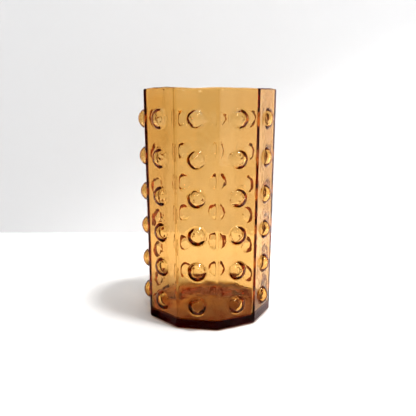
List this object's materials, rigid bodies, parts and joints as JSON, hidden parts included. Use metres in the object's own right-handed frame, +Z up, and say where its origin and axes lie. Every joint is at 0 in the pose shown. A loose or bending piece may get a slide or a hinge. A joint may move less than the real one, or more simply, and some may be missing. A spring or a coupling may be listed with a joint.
{
  "type": "hobnail glass vase",
  "caption": "Tall ten-sided vase of clear amber glass, with rows of round hollow bosses on its flat sides, an open top and a thick bottom.",
  "frame": {"origin": "centre of the standing face, on the axis of the bore", "axes": "+Z up along the vase's axis to the rim; side 1 faces -Y, and the sides are counted anticlockwise seen from above"},
  "size_m": [0.119, 0.1224, 0.2],
  "materials": {
    "amber_glass": "glossy, clear amber"
  },
  "bodies": {
    "root": {"vessel": "amber_glass", "boss_row1_side01": "amber_glass", "boss_row1_side02": "amber_glass", "boss_row1_side03": "amber_glass", "boss_row1_side05": "amber_glass", "boss_row1_side06": "amber_glass", "boss_row1_side07": "amber_glass", "boss_row1_side08": "amber_glass", "boss_row1_side09": "amber_glass", "boss_row1_side10": "amber_glass", "boss_row2_side01": "amber_glass", "boss_row2_side02": "amber_glass", "boss_row2_side03": "amber_glass", "boss_row2_side04": "amber_glass", "boss_row2_side05": "amber_glass", "boss_row2_side06": "amber_glass", "boss_row2_side07": "amber_glass", "boss_row2_side08": "amber_glass", "boss_row2_side09": "amber_glass", "boss_row2_side10": "amber_glass", "boss_row3_side01": "amber_glass", "boss_row3_side02": "amber_glass", "boss_row3_side03": "amber_glass", "boss_row3_side04": "amber_glass", "boss_row3_side05": "amber_glass", "boss_row3_side06": "amber_glass", "boss_row3_side07": "amber_glass", "boss_row3_side08": "amber_glass", "boss_row3_side09": "amber_glass", "boss_row3_side10": "amber_glass", "boss_row4_side01": "amber_glass", "boss_row4_side02": "amber_glass", "boss_row4_side03": "amber_glass", "boss_row4_side04": "amber_glass", "boss_row4_side05": "amber_glass", "boss_row4_side06": "amber_glass", "boss_row4_side07": "amber_glass", "boss_row4_side08": "amber_glass", "boss_row4_side09": "amber_glass", "boss_row4_side10": "amber_glass", "boss_row5_side01": "amber_glass", "boss_row5_side02": "amber_glass", "boss_row5_side03": "amber_glass", "boss_row5_side04": "amber_glass", "boss_row5_side05": "amber_glass", "boss_row5_side06": "amber_glass", "boss_row5_side07": "amber_glass", "boss_row5_side08": "amber_glass", "boss_row5_side09": "amber_glass", "boss_row5_side10": "amber_glass", "boss_row6_side01": "amber_glass", "boss_row6_side02": "amber_glass", "boss_row6_side03": "amber_glass", "boss_row6_side04": "amber_glass", "boss_row6_side05": "amber_glass", "boss_row6_side06": "amber_glass", "boss_row6_side07": "amber_glass", "boss_row6_side08": "amber_glass", "boss_row6_side09": "amber_glass", "boss_row6_side10": "amber_glass"}
  },
  "joints": []
}
